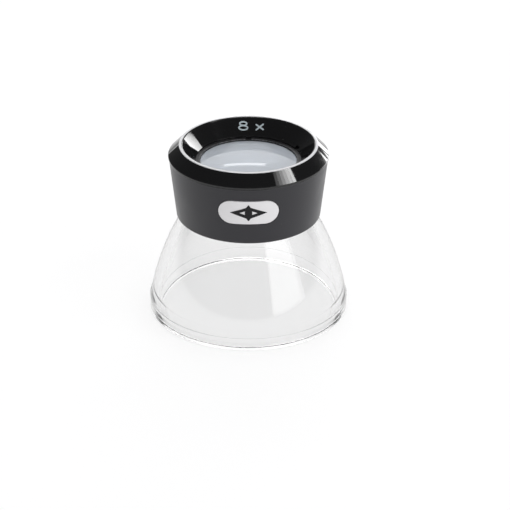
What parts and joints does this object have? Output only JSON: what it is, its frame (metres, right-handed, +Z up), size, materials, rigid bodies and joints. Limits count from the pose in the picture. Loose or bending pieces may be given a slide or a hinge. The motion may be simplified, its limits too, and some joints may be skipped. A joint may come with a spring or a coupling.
{
  "type": "viewing loupe",
  "caption": "Stand loupe for slides and prints: a clear bell-shaped base and a black screw-focusing head with a magnifier.",
  "frame": {"origin": "centre of the foot's underside, on the surface the loupe stands on", "axes": "+Z up along the optical axis, -Y towards the badge on the front, +X to the right seen from the front"},
  "size_m": [0.047, 0.047, 0.0416],
  "materials": {
    "clear_acrylic": "clear, polished",
    "optical_glass": "clear, polished",
    "satin_black": "satin",
    "gloss_black": "high gloss",
    "matt_black": "matt, anti-glare",
    "white_acetal": "turned white acetal, slightly satin",
    "black_anodised": "black anodised",
    "black_rubber": "matt",
    "badge_white": "semi-gloss",
    "emblem_ink": "printed",
    "mark_paint": "paint fill"
  },
  "bodies": {
    "base": {"clear_base": "clear_acrylic"},
    "damping_ring": {"damping_ring": "black_rubber"},
    "head": {"collar": "satin_black", "badge_plate": "badge_white", "badge_emblem": "emblem_ink", "lens_cell": "matt_black", "field_lens": "optical_glass", "lens_spacer": "white_acetal", "eye_lens": "optical_glass", "lens_retaining_ring": "black_anodised", "eyepiece_bezel": "gloss_black", "magnification_mark": "mark_paint"}
  },
  "joints": [
    {"name": "focus_turn", "type": "hinge", "parent": "base", "child": "damping_ring", "pos_m": [0, 0, 0.032], "axis": [0, 0, 1], "range_deg": [0, 120.2]},
    {"name": "focus_travel", "type": "slide", "parent": "damping_ring", "child": "head", "axis": [0, 0, 1], "range_m": [0, 0.003]}
  ],
  "couplings": [
    {"joint": "focus_turn", "follows": "focus_travel", "rad_per_m": 698.13}
  ]
}
